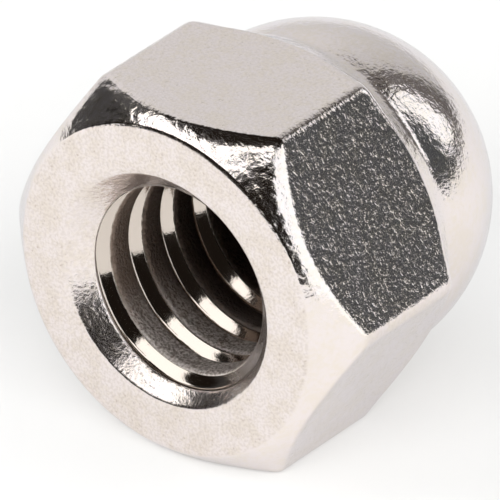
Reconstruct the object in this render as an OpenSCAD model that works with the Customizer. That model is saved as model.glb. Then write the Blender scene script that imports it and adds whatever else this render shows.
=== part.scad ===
// Domed cap nut: a hexagon closed at one end by a dome, with a blind threaded hole.
// It is one solid piece, lying on one of its flats. The hole opens towards -Y and
// the dome points to +Y. The origin is on the thread axis, in the plane of the bearing face.

/* [Hexagon] */
// Distance across the flats of the hexagon
across_flats = 9.525; // [9.3:0.005:12]
// Height of the flats at their middle, from the bearing face to the dome-end chamfer
flat_height = 5.06; // [4.2:0.02:5.6]
// Radius on the edges between the flats
corner_round = 0.4; // [0.1:0.05:0.9]

/* [Bearing end] */
// Diameter of the flat face that bears on the work
bearing_diameter = 8.84; // [7.6:0.02:9.2]
// Slope of the chamfer round the bearing face, in degrees from that face
bearing_chamfer_angle = 46; // [20:1:55]
// Radius that softens the rim of the bearing face
bearing_rim_round = 0.3; // [0.05:0.05:0.6]

/* [Dome end] */
// Height of the whole nut, from the bearing face to the top of the dome
overall_height = 10.5; // [10:0.05:12]
// Diameter of the dome and of the short neck under it
dome_diameter = 8.88; // [8:0.02:9.2]
// Slope of the chamfer that leads in to the neck, in degrees from square to the axis
dome_chamfer_angle = 33; // [10:1:45]
// Radius of the hollow corner where that chamfer meets the neck
neck_fillet = 0.4; // [0.1:0.05:0.6]

/* [Threaded hole] */
// Diameter of the bore at the crests of the thread
bore_diameter = 5.1; // [4.6:0.02:5.6]
// Depth of the full bore, from the bearing face to the drill point
bore_depth = 7.4; // [5.5:0.1:7.8]
// Included angle of the drill point at the end of the bore
drill_point_angle = 118; // [90:1:140]
// Diameter of the countersunk mouth at the bearing face
mouth_diameter = 6.25; // [5.8:0.05:6.8]
// Included angle of the countersink
countersink_angle = 90; // [60:1:120]
// Radius that softens the lip of the mouth
mouth_lip_round = 0.2; // [0.05:0.05:0.5]

/* [Hidden] */
// Fineness of the round surfaces
$fn = 96;
// Straight steps in each small round of an outline
round_steps = 8;
// How far a cut runs past the surface that it opens
overrun = 0.5;
flat_reach = across_flats / 2;
corner_reach = flat_reach / cos(30);
bearing_radius = bearing_diameter / 2;
dome_radius = dome_diameter / 2;
dome_centre = overall_height - dome_radius;
bore_radius = bore_diameter / 2;
mouth_radius = mouth_diameter / 2;
countersink_depth = (mouth_radius - bore_radius) / tan(countersink_angle / 2);
drill_point_depth = bore_radius / tan(drill_point_angle / 2);
// Radius of the turned blank, clear of the corners of the hexagon
blank_radius = corner_reach + overrun;
// Heights at which the two chamfers reach that radius, and at which the upper one reaches the neck
chamfer_start = (blank_radius - bearing_radius) * tan(bearing_chamfer_angle);
chamfer_end = flat_height - (blank_radius - flat_reach) * tan(dome_chamfer_angle);
neck_start = flat_height + (flat_reach - dome_radius) * tan(dome_chamfer_angle);

// Point of a sharp corner of the hexagon, counted round from the X axis.
function hexagon_corner(i) = corner_reach * [cos(60 * i), sin(60 * i)];

// Points of the arc of radius r that rounds the corner b of the path a, b, c.
function rounded(a, b, c, r) =
    let (
        to_a = (a - b) / norm(a - b),
        to_c = (c - b) / norm(c - b),
        half_angle = acos(to_a * to_c) / 2,
        bisector = (to_a + to_c) / norm(to_a + to_c),
        centre = b + bisector * r / sin(half_angle),
        first = b + to_a * r / tan(half_angle) - centre,
        last = b + to_c * r / tan(half_angle) - centre,
        way_round = sign(first.x * last.y - first.y * last.x),
        sweep = way_round * (180 - 2 * half_angle)
    )
    [for (step = [0 : round_steps])
        let (turn = sweep * step / round_steps)
        centre + [
            first.x * cos(turn) - first.y * sin(turn),
            first.x * sin(turn) + first.y * cos(turn)
        ]
    ];

// Bar of hexagon section with its long edges rounded.
module hexagon_bar() {
    linear_extrude(height = overall_height)
        polygon([for (i = [0 : 5])
            each rounded(hexagon_corner(i - 1), hexagon_corner(i), hexagon_corner(i + 1), corner_round)
        ]);
}

// Blank turned about the axis: bearing face, two chamfers, neck and dome.
module turned_blank() {
    bearing_rim = [bearing_radius, 0];
    lower_edge = [blank_radius, chamfer_start];
    upper_edge = [blank_radius, chamfer_end];
    neck_foot = [dome_radius, neck_start];
    neck_top = [dome_radius, dome_centre];
    rotate_extrude()
        union() {
            polygon(concat(
                [[0, 0]],
                rounded([0, 0], bearing_rim, lower_edge, bearing_rim_round),
                [lower_edge, upper_edge],
                rounded(upper_edge, neck_foot, neck_top, neck_fillet),
                [neck_top, [0, dome_centre]]
            ));
            translate([0, dome_centre])
                intersection() {
                    circle(r = dome_radius);
                    square(dome_radius);
                }
        }
}

// Blind hole: countersunk mouth with a soft lip, bore and drill point.
module blind_hole() {
    face_point = [mouth_radius + overrun, 0];
    mouth_edge = [mouth_radius, 0];
    bore_start = [bore_radius, countersink_depth];
    rotate_extrude()
        polygon(concat(
            [[0, -overrun], [face_point.x, -overrun]],
            rounded(face_point, mouth_edge, bore_start, mouth_lip_round),
            [
                bore_start,
                [bore_radius, bore_depth],
                [0, bore_depth + drill_point_depth]
            ]
        ));
}

// The nut in one piece, laid on its side.
module cap_nut() {
    color([0.78, 0.75, 0.73])
        rotate([-90, 0, 0])
            difference() {
                intersection() {
                    hexagon_bar();
                    turned_blank();
                }
                blind_hole();
            }
}

cap_nut();
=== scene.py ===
# %% [markdown]
# # A domed cap nut, seen close
#
# The nut is one piece of stainless steel: a hexagon, a dome that closes one end, and a blind hole
# with a thread in the other. The CAD model already has its true form and size. Here it gets what a
# solid model leaves out: a cut thread, edges worn round by tumbling, and the steel's own finish.
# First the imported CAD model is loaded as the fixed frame, and its box is kept, because the visual
# model may not grow past it.

# %% Load the frame
import math
from collections import namedtuple

import bmesh
import bpy
import numpy as np
from mathutils import Matrix, Vector


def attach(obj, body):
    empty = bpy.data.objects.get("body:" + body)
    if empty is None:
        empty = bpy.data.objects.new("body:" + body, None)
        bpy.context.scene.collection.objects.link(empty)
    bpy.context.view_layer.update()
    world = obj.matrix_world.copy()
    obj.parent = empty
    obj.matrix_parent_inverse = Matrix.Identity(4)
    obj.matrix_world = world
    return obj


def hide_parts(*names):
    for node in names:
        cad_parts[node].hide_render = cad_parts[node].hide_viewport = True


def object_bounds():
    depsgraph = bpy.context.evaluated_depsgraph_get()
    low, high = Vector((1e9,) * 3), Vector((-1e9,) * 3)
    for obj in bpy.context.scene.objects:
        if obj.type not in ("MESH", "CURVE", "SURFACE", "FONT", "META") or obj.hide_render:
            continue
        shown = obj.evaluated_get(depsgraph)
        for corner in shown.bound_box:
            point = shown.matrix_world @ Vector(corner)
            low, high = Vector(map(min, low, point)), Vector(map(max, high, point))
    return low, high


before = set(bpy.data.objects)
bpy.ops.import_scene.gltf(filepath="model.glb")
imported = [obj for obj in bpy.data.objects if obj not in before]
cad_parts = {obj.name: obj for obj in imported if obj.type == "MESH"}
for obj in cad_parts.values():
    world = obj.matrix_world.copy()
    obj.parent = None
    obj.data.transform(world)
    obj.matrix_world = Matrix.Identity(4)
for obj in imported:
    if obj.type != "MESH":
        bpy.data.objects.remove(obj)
cad_low, cad_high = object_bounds()
MM = 0.001
print("CAD box in mm:", [round((b - a) / MM, 3) for a, b in zip(cad_low, cad_high)])

# %% [markdown]
# ## The hexagon, seen along the axis
#
# The nut lies on one flat with its axis along Y, so a point of it is given by an angle round that
# axis, a radius and a height above the bearing face. A plain six-sided cylinder would have knife
# edges, and a bevel would not know which edges were tumbled. So the reach of the hexagon is written
# as a formula of the angle: straight flats, joined by an arc at each corner. The angles are spaced
# closely on those arcs and widely on the flats, where nothing changes.

# %% Reach of the hexagon at each angle, in mm
ACROSS_FLATS = 9.525
CORNER_ROUND = 0.4
SECTOR = math.pi / 3
HALF_SECTOR = SECTOR / 2
FLAT_REACH = ACROSS_FLATS / 2
ROUND_CENTRE = (FLAT_REACH - CORNER_ROUND) / math.cos(HALF_SECTOR)
ROUND_ENDS = math.atan2(CORNER_ROUND * math.sin(HALF_SECTOR),
                        ROUND_CENTRE + CORNER_ROUND * math.cos(HALF_SECTOR))


def hexagon_reach(angle):
    """Distance from the axis to the outside of the hexagon, which has a corner on the X axis."""
    off_corner = np.abs((angle + HALF_SECTOR) % SECTOR - HALF_SECTOR)
    flat = FLAT_REACH / np.cos(HALF_SECTOR - off_corner)
    inside = np.maximum(CORNER_ROUND**2 - (ROUND_CENTRE * np.sin(off_corner)) ** 2, 0)
    arc = ROUND_CENTRE * np.cos(off_corner) + np.sqrt(inside)
    return np.where(off_corner < ROUND_ENDS, arc, flat)


print("across the rounded corners in mm:", round(2 * (ROUND_CENTRE + CORNER_ROUND), 3))

# %% Angles of the mesh's columns
ARC_STEPS = 9
FLAT_STEPS = 40
ARC_GAP = 0.003


def angles_round():
    """Angles once round the axis, close together on the corners, the last one turn after the first."""
    arc = np.linspace(-ROUND_ENDS, ROUND_ENDS, ARC_STEPS)
    flat = np.linspace(ROUND_ENDS + ARC_GAP, SECTOR - ROUND_ENDS - ARC_GAP, FLAT_STEPS)
    sector = np.concatenate([arc, flat])
    turns = [sector + k * SECTOR for k in range(-3, 3)]
    return np.concatenate(turns + [[math.pi - ROUND_ENDS]])


theta = angles_round()
reach = hexagon_reach(theta)
print("columns round the axis:", len(theta) - 1, "reach", reach.min().round(3), "to", reach.max().round(3))

# %% [markdown]
# ## The outside, as one outline per angle
#
# From the hole outwards the outline crosses the bearing face, turns over the rim into a crowned
# chamfer, over another soft edge on to the flat, over the edge at the dome end, down a short sloping
# collar into the neck and up the dome. Subdivision would soften every edge by the same amount. Here
# each corner of the outline has a radius of its own, taken from how wide its highlight is in the
# photo. Every angle gets the same number of points, so that the rows of the mesh run along the edges.

# %% Rounded corners of an outline
def rounded(a, b, c, radius, steps):
    """Rows of points on the arcs that round the corners b of the paths a, b, c, one for each angle."""
    to_a = (a - b) / np.linalg.norm(a - b, axis=-1, keepdims=True)
    to_c = (c - b) / np.linalg.norm(c - b, axis=-1, keepdims=True)
    half = np.arccos(np.clip((to_a * to_c).sum(-1, keepdims=True), -1, 1)) / 2
    bisector = (to_a + to_c) / np.linalg.norm(to_a + to_c, axis=-1, keepdims=True)
    radius = np.reshape(radius, (-1, 1)) * np.ones_like(half)
    centre = b + bisector * radius / np.sin(half)
    first = b + to_a * radius / np.tan(half) - centre
    last = b + to_c * radius / np.tan(half) - centre
    way = np.sign(first[:, :1] * last[:, 1:] - first[:, 1:] * last[:, :1])
    rows = []
    for share in np.linspace(0, 1, steps):
        turn = way * (math.pi - 2 * half) * share
        rows.append(centre + np.concatenate([
            first[:, :1] * np.cos(turn) - first[:, 1:] * np.sin(turn),
            first[:, :1] * np.sin(turn) + first[:, 1:] * np.cos(turn),
        ], axis=1))
    return rows


def between(start, end, shares):
    """Rows of points on the straight lines from start to end."""
    return [start + (end - start) * share for share in shares]


def point(radius, height):
    """The same outline point for every angle, or one that follows an array of radii or heights."""
    return np.stack(np.broadcast_arrays(radius, height, np.zeros_like(theta))[:2], axis=1).astype(float)


# %% Sizes of the outside, in mm
BEARING_RADIUS = 4.42
RIM_ROUND = 0.3
CHAMFER_SLOPE = math.radians(46)
CROWN_SLOPE = math.radians(54)
CROWN_WIDTH = 0.32
LOWER_EDGE_ROUND = 0.3
FLAT_HEIGHT = 5.06
UPPER_EDGE_REACH = 0.24
DOME_CHAMFER = math.radians(33)
COLLAR_RADIUS = 4.70
COLLAR_SLOPE = math.radians(22.5)
COLLAR_REACH = 0.15
DOME_RADIUS = 4.44
OVERALL_HEIGHT = 10.5
DOME_CENTRE = OVERALL_HEIGHT - DOME_RADIUS
MOUTH_RADIUS = 3.2
MOUTH_LIP_ROUND = 0.3
LIP_REACH = MOUTH_LIP_ROUND * math.tan(math.pi / 8)
print("dome centre in mm:", round(DOME_CENTRE, 2), "flat face from:", round(MOUTH_RADIUS + LIP_REACH, 3))

# %% From the lip to the flats
# Largest share of a short straight that the round at one of its ends may take
ROUND_SHARE = 0.45
CROWN_SHARE = 0.4
FACE_SHARES = (0.0, 0.04, 0.25, 0.5, 0.75, 0.96)
CHAMFER_SHARES = (0.3, 0.8)
RIM_STEPS = 8
CROWN_STEPS = 7
LOWER_EDGE_STEPS = 9


def bearing_end(upper):
    """Rows over the bearing face and its crowned chamfer, whose outer part is steeper, to the flats."""
    lip = point(MOUTH_RADIUS + LIP_REACH, 0)
    rim = point(BEARING_RADIUS, 0)
    chamfer = (reach - BEARING_RADIUS) / math.cos(CHAMFER_SLOPE)
    crown = np.minimum(CROWN_WIDTH, CROWN_SHARE * chamfer)
    inner = chamfer - crown
    crown_foot = point(BEARING_RADIUS + inner * math.cos(CHAMFER_SLOPE), inner * math.sin(CHAMFER_SLOPE))
    rise = crown * math.cos(CHAMFER_SLOPE) * math.tan(CROWN_SLOPE)
    crown_edge = point(reach, crown_foot[:, 1] + rise)

    crown_turn = math.tan((CROWN_SLOPE - CHAMFER_SLOPE) / 2)
    edge_turn = math.tan((math.pi / 2 - CROWN_SLOPE) / 2)
    crown_round = ROUND_SHARE * np.minimum(crown, inner) / crown_turn
    edge_round = np.minimum(LOWER_EDGE_ROUND, ROUND_SHARE * crown / edge_turn)
    over_rim = rounded(lip, rim, crown_foot, RIM_ROUND, RIM_STEPS)
    over_crown = rounded(rim, crown_foot, crown_edge, crown_round, CROWN_STEPS)
    over_lower = rounded(crown_foot, crown_edge, upper, edge_round, LOWER_EDGE_STEPS)
    rows = between(lip, over_rim[0], FACE_SHARES)
    rows += over_rim + between(over_rim[-1], over_crown[0], CHAMFER_SHARES)
    return rows + over_crown + over_lower


# %% From the flats to the top of the dome
FLAT_SHARES = (0.01, 0.2, 0.4, 0.6, 0.8, 0.99)
MIDDLE = (0.5,)
UPPER_EDGE_STEPS = 10
COLLAR_STEPS = 6
NECK_STEPS = 7
DOME_STEPS = 44


def dome_end(upper, lower_edge):
    """Rows up the flats, over the edge at the dome end, down the collar and over the dome."""
    collar_height = FLAT_HEIGHT + (FLAT_REACH - COLLAR_RADIUS) * math.tan(DOME_CHAMFER)
    collar_rise = (COLLAR_RADIUS - DOME_RADIUS) / math.tan(COLLAR_SLOPE)
    collar = point(COLLAR_RADIUS, collar_height)
    foot = point(DOME_RADIUS, collar_height + collar_rise)
    neck = point(DOME_RADIUS, DOME_CENTRE)

    # The chamfer runs out in the middle of a flat, so its two rounds share what is left of it.
    slant = (reach - COLLAR_RADIUS) / math.cos(DOME_CHAMFER)
    upper_turn = math.tan((math.pi / 2 + DOME_CHAMFER) / 2)
    collar_turn = math.tan((math.pi / 2 + DOME_CHAMFER + COLLAR_SLOPE) / 2)
    neck_turn = math.tan((math.pi - COLLAR_SLOPE) / 2)
    upper_round = np.minimum(UPPER_EDGE_REACH, ROUND_SHARE * slant) * upper_turn
    collar_round = np.minimum(COLLAR_REACH, ROUND_SHARE * slant) * collar_turn
    over_upper = rounded(lower_edge, upper, collar, upper_round, UPPER_EDGE_STEPS)
    into_collar = rounded(upper, collar, foot, collar_round, COLLAR_STEPS)
    into_neck = rounded(collar, foot, neck, COLLAR_REACH * neck_turn, NECK_STEPS)
    rows = between(lower_edge, over_upper[0], FLAT_SHARES)
    rows += over_upper + into_collar + between(into_collar[-1], into_neck[0], MIDDLE)
    rows += into_neck + between(into_neck[-1], neck, MIDDLE)
    for lift in np.linspace(0, math.pi / 2, DOME_STEPS):
        rows.append(point(DOME_RADIUS * math.cos(lift), DOME_CENTRE + DOME_RADIUS * math.sin(lift)))
    return rows


upper_edge = point(reach, FLAT_HEIGHT - (reach - FLAT_REACH) * math.tan(DOME_CHAMFER))
outside = bearing_end(upper_edge)
outside += dome_end(upper_edge, outside[-1])
print("rows on the outside:", len(outside))

# %% [markdown]
# ## The threaded hole
#
# A tap cuts a screw-shaped groove into the drilled wall, here to the right hand, and the countersink
# at the mouth cuts into its first turn. A Screw modifier could sweep the groove, but then it would
# have to be joined to the countersink and to the drill point by a boolean, which leaves ragged
# edges. Instead the wall is one sheet whose rows climb round the axis with the thread, so each edge
# of the thread is a row of the mesh. At the lip and at the bottom the rows are held back to a ring.

# %% One pitch of the thread, in mm and in shares of a pitch
PITCH = 1.27
CREST_RADIUS = 2.5
THREAD_DEPTH = 0.36
FLANK_ANGLE = math.radians(41)
CREST_SHARE = 0.48
FLANK_SHARE = THREAD_DEPTH * math.tan(FLANK_ANGLE) / PITCH
CREST_SOFT = 0.09
ROOT_SOFT = 0.06


def groove_depth(phase):
    """Depth of the groove below the crests, with the phase counted in pitches from a crest's near edge."""
    phase = phase % 1.0
    off_crest = np.abs((phase - CREST_SHARE / 2 + 0.5) % 1.0 - 0.5) - CREST_SHARE / 2
    slope = off_crest / FLANK_SHARE
    low = np.logaddexp(slope / CREST_SOFT, 0) * CREST_SOFT
    return THREAD_DEPTH * (1 - np.logaddexp((1 - low) / ROOT_SOFT, 0) * ROOT_SOFT)


print("depth in mm in the middle of a root:", groove_depth(np.array((1 + CREST_SHARE) / 2)).round(3))

# %% Rows in one pitch, close together at the edges of the crest and of the root
FLANK_SHARES = (-0.3, -0.15, -0.06, 0.02, 0.1, 0.22, 0.5, 0.8, 0.92, 1.05)
FINE_STEPS = 22
LAST_FINE_TURN = 0
flank = FLANK_SHARE * np.array(FLANK_SHARES)
phases = np.sort(np.concatenate([-flank[::-1], [CREST_SHARE / 2], CREST_SHARE + flank]) % 1.0)
fine_flank = np.linspace(CREST_SHARE, CREST_SHARE + FLANK_SHARE, FINE_STEPS)
fine_phases = np.sort(np.concatenate([phases, fine_flank]))
print("rows in one pitch:", len(phases), "and by the mouth:", len(fine_phases))


def phases_in(turn):
    """Phases of one turn's rows, with more of them near the mouth, where the countersink cuts across."""
    if turn <= LAST_FINE_TURN:
        return fine_phases
    if turn > LAST_FINE_TURN + 1:
        return phases
    # Here the extra rows only close the seam with the turn before, and then lie on a neighbour.
    at_seam = theta == theta[-1]
    return [np.where(at_seam, phase, phases[phases <= phase].max()) for phase in fine_phases]


# %% Radius of the hole's wall, in mm
BORE_DEPTH = 7.4
DRILL_POINT_ANGLE = math.radians(118)
DRILL_POINT = CREST_RADIUS / math.tan(DRILL_POINT_ANGLE / 2)
THREAD_FROM = 1.193
THREAD_STARTS = (0.16, 0.30)
THREAD_FADES = (5.6, 6.5)
RIDGE_SOFT = 0.05


def eased(value, start, end):
    """0 before start, 1 after end, and smooth between."""
    share = np.clip((value - start) / (end - start), 0, 1)
    return share * share * (3 - 2 * share)


def hole_radius(angle, height):
    """Radius of the hole's wall: the larger of the countersink and the thread."""
    phase = (height - THREAD_FROM) / PITCH + (angle - math.pi) / (2 * math.pi)
    cut = eased(height, *THREAD_STARTS) * (1 - eased(height, *THREAD_FADES))
    thread = CREST_RADIUS + groove_depth(phase) * cut
    return np.logaddexp(thread / RIDGE_SOFT, (MOUTH_RADIUS - height) / RIDGE_SOFT) * RIDGE_SOFT


# %% Wall of the hole
TURNS = range(-2, 8)
LIP_STEPS = 8
DRILL_POINT_STEPS = 7


def hole_rows():
    """Rows of outline points from the lip of the hole to the tip of the drill point."""
    start = THREAD_STARTS[0]
    rim = point(BEARING_RADIUS, 0)
    mouth = point(MOUTH_RADIUS, 0)
    rows = rounded(rim, mouth, point(MOUTH_RADIUS - start, start), MOUTH_LIP_ROUND, LIP_STEPS)
    # A full ring, for the rows that are held back at the lip to meet
    rows.append(point(hole_radius(theta, start), start))
    for turn in TURNS:
        for phase in phases_in(turn):
            height = THREAD_FROM + PITCH * (turn + phase - (theta - math.pi) / (2 * math.pi))
            if height.max() > start and height.min() < BORE_DEPTH:
                height = np.clip(height, start, BORE_DEPTH)
                rows.append(point(hole_radius(theta, height), height))
    for share in np.linspace(0, 1, DRILL_POINT_STEPS):
        rows.append(point(CREST_RADIUS * (1 - share), BORE_DEPTH + DRILL_POINT * share))
    return rows


hole = hole_rows()
print("rows in the hole:", len(hole))

# %% [markdown]
# ## One closed mesh
#
# The two sets of rows meet at the lip, so together they wrap the whole nut. They could stay two
# sheets, but then the surface would be open at the lip. Points that fall in one place, at the poles,
# at the seam and where the thread's rows are held back, are merged instead, which leaves a closed
# surface with no inner faces. The piece then takes the place of the CAD solid.

# %% Stitch the nut
MERGE_DISTANCE = 2e-7
SLIVER = 1e-8


def placed(row):
    """A row of outline points, turned about the axis into metres in the CAD frame."""
    radius, height = row[:, 0], row[:, 1]
    return np.stack([radius * np.cos(theta), height, radius * np.sin(theta)], axis=1) * MM


def grid_faces(rows, columns):
    """Four-sided faces between neighbouring points of a grid that is stored row by row."""
    starts = [i * columns + j for i in range(rows - 1) for j in range(columns - 1)]
    return [(a, a + 1, a + 1 + columns, a + columns) for a in starts]


def stitched(rows, name):
    """A mesh object from rows of points, with doubles merged and no degenerate faces."""
    points = np.concatenate([placed(row) for row in rows])
    mesh = bpy.data.meshes.new(name)
    mesh.from_pydata(points.tolist(), [], grid_faces(len(rows), len(theta)))
    solid = bmesh.new()
    solid.from_mesh(mesh)
    bmesh.ops.remove_doubles(solid, verts=solid.verts, dist=MERGE_DISTANCE)
    bmesh.ops.dissolve_degenerate(solid, edges=solid.edges, dist=SLIVER)
    bmesh.ops.recalc_face_normals(solid, faces=solid.faces)
    open_edges = sum(1 for e in solid.edges if len(e.link_faces) != 2)
    print(name, "faces:", len(solid.faces), "edges not shared by two faces:", open_edges,
          "volume mm3:", round(solid.calc_volume() / MM**3, 2))
    solid.to_mesh(mesh)
    solid.free()
    mesh.shade_smooth()
    piece = bpy.data.objects.new(name, mesh)
    bpy.context.collection.objects.link(piece)
    return piece


nut = stitched(hole[::-1] + outside[1:], "cap_nut_steel")
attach(nut, "root")
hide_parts("cap_nut")

# %% [markdown]
# ## Shader maths in Python
#
# A finish is a sum of patterns, and in the node editor every plus sign is a node to place and wire.
# This small class stands for one socket and turns Python's operators into Math nodes, so that a
# finish reads like a formula. Any other node comes from its one method, node.

# %% A socket that does sums
class Socket:
    """One output of a node, with the operators that the finishes use."""

    def __init__(self, tree, output):
        self.tree, self.output = tree, output

    @staticmethod
    def node(tree, kind, settings=None, inputs=None, output=0):
        """Adds a node, sets its settings and then its sockets, and returns one of its outputs."""
        made = tree.nodes.new(kind)
        for name, value in (settings or {}).items():
            setattr(made, name, value)
        for name, value in (inputs or {}).items():
            if isinstance(value, Socket):
                tree.links.new(value.output, made.inputs[name])
            else:
                made.inputs[name].default_value = value
        return Socket(tree, made.outputs[output])

    def maths(self, operation, *values):
        """A Math node of this operation on the values, which are sockets or numbers."""
        return Socket.node(self.tree, "ShaderNodeMath", {"operation": operation}, dict(enumerate(values)))

    def __add__(self, other):
        return self.maths("ADD", self, other)

    def __radd__(self, other):
        return self.maths("ADD", other, self)

    def __sub__(self, other):
        return self.maths("SUBTRACT", self, other)

    def __rsub__(self, other):
        return self.maths("SUBTRACT", other, self)

    def __mul__(self, other):
        return self.maths("MULTIPLY", self, other)

    def __rmul__(self, other):
        return self.maths("MULTIPLY", other, self)

    def __truediv__(self, other):
        return self.maths("DIVIDE", self, other)

    def __rtruediv__(self, other):
        return self.maths("DIVIDE", other, self)

    def rises(self, start, end, low=0.0, high=1.0):
        """Eased step of this value from low to high between start and end."""
        return Socket.node(self.tree, "ShaderNodeMapRange", {"interpolation_type": "SMOOTHSTEP"},
                           {"Value": self, "From Min": start, "From Max": end, "To Min": low, "To Max": high})

    def falls(self, start, end):
        """Eased step of this value from 1 down to 0 between start and end."""
        return self.rises(start, end, 1.0, 0.0)


def mixed(tree, share, first, second):
    """Blend of two colours."""
    return Socket.node(tree, "ShaderNodeMix", {"data_type": "RGBA"},
                       {"Factor": share, 6: first, 7: second}, output=2)


def axes(tree, vector):
    """The three components of a vector."""
    return [Socket.node(tree, "ShaderNodeSeparateXYZ", {}, {0: vector}, output=i) for i in range(3)]


# %% [markdown]
# ## Where each surface is
#
# The flats, the chamfer, the ground bearing face, the countersink and the torn crests of the thread
# have each been through other tools, so each has its own finish. They could be cut into pieces with a
# material each, but then the finish would change at a hard line. Instead a point's place and the way
# it faces say which surface it is on: each mask below is 1 there, 0 elsewhere and soft between. Two
# masks mark painted light rather than a surface: the lower crests near the mouth get a painted
# highlight, and the deep crests get painted shade.

# %% Where the surfaces in the hole begin and end, in mm
MASK_EDGE = 0.04
HOLE_END = BORE_DEPTH + DRILL_POINT
THREAD_FROM_FUNNEL = (0.02, 0.06)
CREST_WITHIN = (CREST_RADIUS + 0.05, CREST_RADIUS + 0.09)
# Where the crests on the lower side near the mouth get a painted highlight
LOW_UP_TO = (-2.45, -1.0)
LOW_AS_DEEP_AS = (2.4, 4.4)
# How much of the painted shade deep in the hole the lower crests are spared, and the depths over which that
# shade comes on
LOW_STAYS_LIGHT = 0.8
DEEP_SHADE_FROM = (1.2, 4.2)
RIDGE_FROM_FUNNEL = (0.005, 0.025)
RIDGE_UP_TO = (0.06, 0.10)
RIDGE_FROM_FACE = (0.2, 0.3)
print("end of the hole in mm:", round(HOLE_END, 2))

# %% Where the surfaces outside begin and end, by radius in mm and by how far they face along the axis
FLAT_FROM_RADIUS = (4.5, 4.7)
FLAT_FROM = (-0.25, -0.1)
FLAT_UP_TO = (0.1, 0.25)
FACE_UP_TO = (-0.95, -0.76)
CHAMFER_FROM = (-0.86, -0.76)
CHAMFER_UP_TO = (-0.45, -0.25)

# %% Masks of the surfaces
Surfaces = namedtuple("Surfaces", "thread funnel crest low_crest deep ridge flat face chamfer")


def surfaces(tree, place):
    """Masks of the surfaces, and of painted light on the crests, from where a point is and how far it faces
    along the axis.
    """
    facing = Socket.node(tree, "ShaderNodeTexCoord", output="Normal")
    x, y, z = [part / MM for part in axes(tree, place)]
    along = axes(tree, facing)[1]
    square = x * x + z * z
    radius = square.maths("SQRT", square)
    past_funnel = y + radius - MOUTH_RADIUS
    inner = (radius.falls(MOUTH_RADIUS - MASK_EDGE, MOUTH_RADIUS + MASK_EDGE)
             * y.falls(HOLE_END + MASK_EDGE, HOLE_END + 2 * MASK_EDGE))
    thread = inner * past_funnel.rises(*THREAD_FROM_FUNNEL)
    crest = thread * radius.falls(*CREST_WITHIN)
    # The lower side of the hole near the mouth, where the crests get a painted highlight
    low = z.falls(*LOW_UP_TO) * y.falls(*LOW_AS_DEEP_AS)
    # Painted shade on the crests deeper in the hole, mostly kept off the lower side
    deep = y.rises(*DEEP_SHADE_FROM) * (1 - LOW_STAYS_LIGHT * low)
    ridge = past_funnel.rises(*RIDGE_FROM_FUNNEL) * past_funnel.falls(*RIDGE_UP_TO)
    ridge = inner * ridge * y.rises(*RIDGE_FROM_FACE)
    outer = 1 - inner
    flat = outer * along.rises(*FLAT_FROM) * along.falls(*FLAT_UP_TO) * radius.rises(*FLAT_FROM_RADIUS)
    face = outer * along.falls(*FACE_UP_TO)
    chamfer = outer * along.rises(*CHAMFER_FROM) * along.falls(*CHAMFER_UP_TO)
    return Surfaces(thread, inner - thread, crest, low, deep, ridge, flat, face, chamfer)


# %% [markdown]
# ## Stainless steel, tumbled bright
#
# The real surface is a mirror that has been knocked about in a barrel with other nuts: a fine grain,
# specks, shallow dents, and pits in the bearing face. An image of such a surface would need seams
# and would stretch on the dome. Noise in the object's own space runs round every edge instead, and
# since bare steel has hardly any colour, most of it goes into the bump that bends the reflections.
# The crests of the thread also carry painted light: a highlight on the lower side near the mouth,
# and shade deeper in the hole.

# %% Patterns of wear, with their scales per metre
GRAIN_SCALE = 13000.0
SPECK_SCALE = 7500.0
DENT_SCALE = 3000.0
BLOTCH_SCALE = 1500.0
PIT_SCALE = 11000.0
PIT_RANGE = (0.58, 0.76)
PITTED_RANGE = (0.36, 0.60)
Wear = namedtuple("Wear", "grain specks dents blotch pits")


def noise(tree, place, scale, detail, roughness=0.5):
    """Noise about 0.5, whose finer octaves fade by the roughness."""
    return Socket.node(tree, "ShaderNodeTexNoise", {},
                       {"Vector": place, "Scale": scale, "Detail": detail, "Roughness": roughness})


def wear(tree, place):
    """The five patterns that the finish is made of."""
    blotch = noise(tree, place, BLOTCH_SCALE, 3.0)
    return Wear(
        grain=noise(tree, place, GRAIN_SCALE, 2.0),
        specks=noise(tree, place, SPECK_SCALE, 2.0, 0.6),
        dents=noise(tree, place, DENT_SCALE, 1.0),
        blotch=blotch,
        pits=noise(tree, place, PIT_SCALE, 1.0).rises(*PIT_RANGE) * blotch.rises(*PITTED_RANGE),
    )


scales = (GRAIN_SCALE, SPECK_SCALE, DENT_SCALE, BLOTCH_SCALE, PIT_SCALE)
print("width of the patterns in mm:", [round(1 / (scale * MM), 3) for scale in scales])

# %% Colour of the steel
STEEL_PALE = (0.845, 0.775, 0.755, 1)
STEEL_WARM = (0.83, 0.755, 0.69, 1)
STEEL_PIT = (0.60, 0.51, 0.45, 1)
STEEL_THREAD = (0.62, 0.55, 0.49, 1)
STEEL_CREST = (0.37, 0.29, 0.24, 1)
# A light colour painted on the lower crests as a highlight
STEEL_PAINTED_CREST_LIGHT = (0.98, 0.93, 0.90, 1)
# A dark colour painted on the crests deep in the hole as shade
STEEL_DEEP_SHADE = (0.16, 0.12, 0.10, 1)
PATCH_RANGE = (0.40, 0.62)
FINE_RANGE = (0.40, 0.64)
# Grain levels over which the lower crests turn to the painted highlight
LIT_CREST_GRAIN_RANGE = (0.30, 0.66, 0.2, 1.0)


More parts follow.
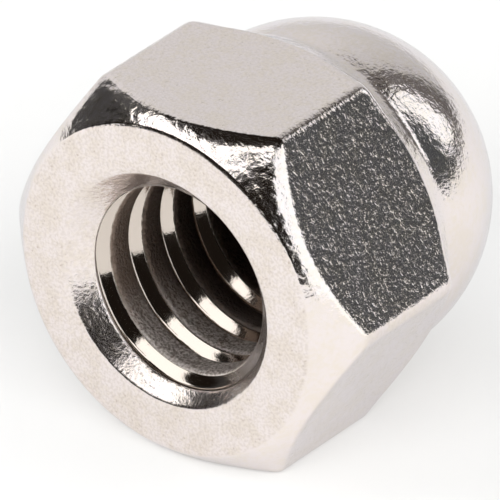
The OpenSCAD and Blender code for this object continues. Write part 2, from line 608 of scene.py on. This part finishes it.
def steel_colour(tree, on, by):
    """Pale steel with warm patches, mottled on the face and the countersink, darker and warmer in the thread,
    with a painted highlight on the lower crests and painted shade on the deep ones.
    """
    colour = mixed(tree, (0.5 * by.blotch + 0.5 * by.specks).rises(*PATCH_RANGE), STEEL_PALE, STEEL_WARM)
    fine = by.grain.rises(*FINE_RANGE)
    ground = on.face + 0.7 * on.funnel
    mottle = ground * (0.34 * fine + 0.12 * by.blotch.rises(*PATCH_RANGE) + 0.6 * by.pits)
    colour = mixed(tree, mottle + 0.16 * on.flat * fine, colour, STEEL_PIT)
    colour = mixed(tree, on.thread, colour, STEEL_THREAD)
    # Lower crests near the mouth: light specks along the grain, a painted highlight
    torn = mixed(tree, on.low_crest * by.grain.rises(*LIT_CREST_GRAIN_RANGE), STEEL_CREST, STEEL_PAINTED_CREST_LIGHT)
    # Crests darken deeper in the hole: painted shade
    torn = mixed(tree, on.deep, torn, STEEL_DEEP_SHADE)
    return mixed(tree, on.crest, colour, torn)


# %% Roughness of the steel
TORN_ROUGHNESS = (0.3, 0.7, 0.45, 0.70)


def steel_roughness(on, by):
    """Near a mirror on the outside, duller in the countersink and dull on the torn crests."""
    return (0.10 + 0.06 * by.grain + 0.01 * on.flat + 0.08 * on.funnel - 0.05 * on.thread
            + 0.2 * on.ridge + on.crest * by.grain.rises(*TORN_ROUGHNESS))


# %% Relief of the steel
RELIEF = 0.01 * MM
SPECK_RANGE = (0.52, 0.74)


def steel_relief(on, by):
    """Height of the wear: grain on the torn crests, specks on the flats and dents on the chamfer."""
    return (by.grain * (0.14 + 0.45 * on.flat + 4.5 * on.crest + 1.0 * on.ridge + 0.35 * on.funnel)
            + by.specks * (1.1 - 0.2 * on.flat - 0.4 * on.chamfer - 0.8 * on.face - 1.05 * on.thread)
            + by.specks.rises(*SPECK_RANGE) * (0.20 * on.flat + 0.08 * on.chamfer)
            + by.dents * (0.95 + 0.85 * on.chamfer - 0.6 * on.flat - 0.55 * on.face - 0.9 * on.thread))


# %% Steel
# Steel reflects less at a glancing angle than the plain metal formula gives
GLANCING_TINT = (0.84, 0.85, 0.88, 1)


def steel():
    """The one material of the nut."""
    material = bpy.data.materials.new("tumbled_stainless_steel")
    material.use_nodes = True
    tree = material.node_tree
    shader = tree.nodes["Principled BSDF"]
    shader.inputs["Metallic"].default_value = 1.0
    shader.inputs["Specular Tint"].default_value = GLANCING_TINT
    place = Socket.node(tree, "ShaderNodeTexCoord", output="Object")
    on = surfaces(tree, place)
    by = wear(tree, place)
    bump = Socket.node(tree, "ShaderNodeBump", {},
                       {"Height": steel_relief(on, by), "Strength": 1.0, "Distance": RELIEF})
    tree.links.new(steel_colour(tree, on, by).output, shader.inputs["Base Color"])
    tree.links.new(steel_roughness(on, by).output, shader.inputs["Roughness"])
    tree.links.new(bump.output, shader.inputs["Normal"])
    print("nodes in the steel:", len(tree.nodes))
    return material


nut.data.materials.append(steel())

# %% [markdown]
# ## The floor
#
# The photo has the nut on a plain white ground with a faint shadow. A floor that only took light
# would be grey near the nut, and one that only glowed would have no shadow. This one does a little
# of both: a pale plane at the level of the lower flat that gives off some light of its own.

# %% Floor
FLOOR_SIZE = 1.6
FLOOR_COLOUR = (0.5, 0.5, 0.495, 1)
FLOOR_ROUGHNESS = 0.8
FLOOR_GLOW = 0.24
floor_level = cad_low[2]


def white_floor():
    """A square plane under the nut."""
    half = FLOOR_SIZE / 2
    corners = [(-half, -half), (half, -half), (half, half), (-half, half)]
    mesh = bpy.data.meshes.new("floor")
    mesh.from_pydata([(x, y, floor_level) for x, y in corners], [], [(0, 1, 2, 3)])
    material = bpy.data.materials.new("white_floor")
    material.use_nodes = True
    shader = material.node_tree.nodes["Principled BSDF"]
    shader.inputs["Base Color"].default_value = FLOOR_COLOUR
    shader.inputs["Roughness"].default_value = FLOOR_ROUGHNESS
    shader.inputs["Emission Color"].default_value = (1, 1, 1, 1)
    shader.inputs["Emission Strength"].default_value = FLOOR_GLOW
    mesh.materials.append(material)
    floor = bpy.data.objects.new("floor", mesh)
    bpy.context.collection.objects.link(floor)
    print("floor at mm:", round(floor_level / MM, 3))


white_floor()

# %% [markdown]
# ## The camera
#
# The photo was taken from above the open end with a long lens, so opposite edges of the hexagon stay
# nearly parallel. A tracking constraint could aim the camera, but it would hide the numbers. Here it
# stands at an azimuth, an elevation and a distance from a point of the nut, all found by laying the
# hexagon, the mouth of the hole and the dome over the photo. That point and the distance are given
# in widths across the flats.

# %% Camera
AZIMUTH = math.radians(37.727)
ELEVATION = math.radians(30.039)
AIM = Vector((-0.4096, 0.8921, -0.428)) * ACROSS_FLATS * MM
DISTANCE = 40.92 * ACROSS_FLATS * MM
PHOTO_WIDTH = 500
FOCAL_PIXELS = 15440
SENSOR_WIDTH = 36
NEAR_CLIP = 0.01


def make_camera():
    """The camera of the scene, turned so that its own axes are right, up and back."""
    lens = bpy.data.cameras.new("camera")
    lens.sensor_width = SENSOR_WIDTH
    lens.lens = FOCAL_PIXELS / PHOTO_WIDTH * SENSOR_WIDTH
    lens.clip_start = NEAR_CLIP
    camera = bpy.data.objects.new("camera", lens)
    level = math.cos(ELEVATION)
    back = Vector((math.sin(AZIMUTH) * level, -math.cos(AZIMUTH) * level, math.sin(ELEVATION)))
    right = Vector((math.cos(AZIMUTH), math.sin(AZIMUTH), 0))
    camera.matrix_world = Matrix((right, back.cross(right), back)).transposed().to_4x4()
    camera.location = AIM + back * DISTANCE
    bpy.context.collection.objects.link(camera)
    bpy.context.scene.camera = camera
    print("camera at mm:", [round(v / MM, 1) for v in camera.location])


make_camera()

# %% [markdown]
# ## The studio
#
# Bright steel shows the room around it more than its own colour: white where it mirrors a window or
# a softbox, dark in the gaps between. The room could be built from glowing planes, but each of them
# would also throw light on the floor. Here it is painted on the world, as cards with soft edges. One
# set is what the steel mirrors, and the other is the softer light that spreads on the floor, so that
# reflections and shadow can be set apart. The world isn't sampled as a lamp is, because such samples
# have no ray type, and the steel would mirror the floor's light.

# %% Cards of the studio, in degrees round from the X axis and up from the floor
Card = namedtuple("Card", "azimuth half low high soft lean colour")


def grey(level):
    """A colour with no hue."""
    return (level, level, level, 1)


ROOM = (0.014, 0.011, 0.009, 1)
WALL = Card(137, 46, -20, 48, 8, 0.0, grey(0.82))
WALL_DIM = grey(0.60)
WALL_BRIGHTENS = (90, 140)
LOW_REFLECTOR = Card(217, 30, -20, 4, 6, 0.0, grey(1.15))
DARK_STAND = Card(182, 8, -3, 75, 4, 0.3, grey(0.06))
SOFTBOX_LIGHT = grey(1.8)
SOFTBOX_LEFT = Card(231, 31, 34, 54, 3, 0.0, SOFTBOX_LIGHT)
SOFTBOX_MIDDLE = Card(248, 27, 33, 46, 3, 0.0, SOFTBOX_LIGHT)
SOFTBOX_RIGHT = Card(280, 22, 48.5, 58, 3, 0.0, SOFTBOX_LIGHT)
WINDOW_LIGHT = (1.27, 1.30, 1.33, 1)
WINDOW = Card(4, 37, -10, 54, 4, -0.35, WINDOW_LIGHT)
WINDOW_GAP = Card(49.5, 8, -5, 35, 3, 0.0, (0.07, 0.076, 0.08, 1))
NARROW_WINDOW = Card(65.2, 8.5, 6, 42, 3, 0.1, WINDOW_LIGHT)
WALL_GAP = Card(81, 6.5, -5, 55, 3, 0.08, (0.14, 0.13, 0.125, 1))
MIRRORED = (LOW_REFLECTOR, DARK_STAND, SOFTBOX_LEFT, SOFTBOX_MIDDLE, SOFTBOX_RIGHT, WINDOW, WINDOW_GAP,
            NARROW_WINDOW, WALL_GAP)

SPREAD_ROOM = grey(0.48)
SPREAD_FRONT = Card(294.5, 32.5, 5, 50, 6, 0.0, grey(6.3))
SPREAD_WINDOW = Card(4, 37, 0, 50, 6, 0.0, grey(3.3))
SPREAD_LEFT = Card(205, 25, 0, 35, 6, 0.0, grey(6.4))
SPREAD = (SPREAD_FRONT, SPREAD_WINDOW, SPREAD_LEFT)
print("cards in the studio:", 1 + len(MIRRORED), "mirrored and", len(SPREAD), "spread")

# %% Mask of one card
HALF_TURN = 180.0
DEGREES = HALF_TURN / math.pi


def inside_card(tree, azimuth, lift, card):
    """1 inside a card, 0 outside, soft at its edges. A card that leans moves sideways as it rises."""
    off = azimuth - (card.azimuth + lift * card.lean)
    off = off.maths("WRAP", off, HALF_TURN, -HALF_TURN)
    off = off.maths("ABSOLUTE", off)
    edge = card.soft / 2
    across = off.falls(card.half - edge, card.half + edge)
    above = lift.rises(card.low - edge, card.low + edge)
    below = lift.falls(card.high - edge, card.high + edge)
    return across * above * below


# %% World
def studio():
    """A world whose look depends on the ray: mirrored cards, spread light, or white for the camera."""
    world = bpy.data.worlds.new("studio")
    bpy.context.scene.world = world
    world.use_nodes = True
    world.cycles.sampling_method = "NONE"
    tree = world.node_tree
    x, y, z = axes(tree, Socket.node(tree, "ShaderNodeTexCoord", output="Generated"))
    azimuth = y.maths("ARCTAN2", y, x) * DEGREES
    lift = z.maths("ARCSINE", z) * DEGREES

    wall = mixed(tree, azimuth.rises(*WALL_BRIGHTENS), WALL_DIM, WALL.colour)
    light = mixed(tree, inside_card(tree, azimuth, lift, WALL), ROOM, wall)
    for card in MIRRORED:
        light = mixed(tree, inside_card(tree, azimuth, lift, card), light, card.colour)
    fill = SPREAD_ROOM
    for card in SPREAD:
        fill = mixed(tree, inside_card(tree, azimuth, lift, card), fill, card.colour)

    glossy = Socket.node(tree, "ShaderNodeLightPath", output="Is Glossy Ray")
    camera = Socket.node(tree, "ShaderNodeLightPath", output="Is Camera Ray")
    seen = mixed(tree, camera, mixed(tree, glossy, fill, light), grey(1.0))
    background = tree.nodes["Background"]
    background.inputs["Strength"].default_value = 1.0
    tree.links.new(seen.output, background.inputs["Color"])
    print("nodes in the world:", len(tree.nodes))


studio()
bpy.context.scene.view_settings.view_transform = "Standard"
